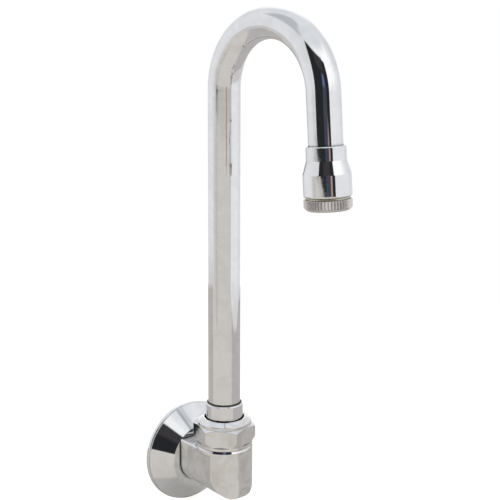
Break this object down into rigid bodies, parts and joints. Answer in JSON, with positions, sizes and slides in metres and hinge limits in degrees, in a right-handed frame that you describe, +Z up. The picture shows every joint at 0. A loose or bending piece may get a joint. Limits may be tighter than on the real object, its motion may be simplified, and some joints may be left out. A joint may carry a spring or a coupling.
{
  "type": "wall-mounted swivel gooseneck faucet",
  "caption": "Chrome wall-mounted single-inlet faucet: round flange, cast elbow, domed hex nut, rigid gooseneck that swivels above it, and a flared outlet with a knurled aerator.",
  "frame": {"origin": "centre of the supply inlet's mouth, on the wall plane", "axes": "+Z up along the riser, -Y out of the wall towards the user, +Y into the wall along the supply, +X to the right seen from the front"},
  "size_m": [0.0636, 0.1297, 0.3083],
  "materials": {
    "chrome_plate": "bright chrome plate on polished brass",
    "dull_nickel": "dull nickel plate on knurled brass",
    "acetal": "moulded off-white acetal",
    "nitrile_rubber": "smooth black rubber",
    "stainless_mesh": "fine stainless wire mesh"
  },
  "bodies": {
    "base": {"wall_flange": "chrome_plate", "elbow_body": "chrome_plate", "swivel_nut": "chrome_plate", "upper_thrust_washer": "acetal", "lower_thrust_washer": "acetal"},
    "spout": {"swivel_sleeve": "chrome_plate", "upper_o_ring": "nitrile_rubber", "lower_o_ring": "nitrile_rubber", "gooseneck_tube": "chrome_plate", "outlet_bell": "chrome_plate", "aerator_gasket": "nitrile_rubber", "aerator_housing": "dull_nickel", "inlet_screen": "stainless_mesh", "jet_disc": "acetal", "mixing_ring": "acetal", "outlet_screen": "stainless_mesh"}
  },
  "joints": [
    {"name": "spout_swivel", "type": "hinge", "parent": "base", "child": "spout", "pos_m": [0, -0.0375, 0.03], "axis": [0, 0, 1], "range_deg": [-112, 98]}
  ]
}
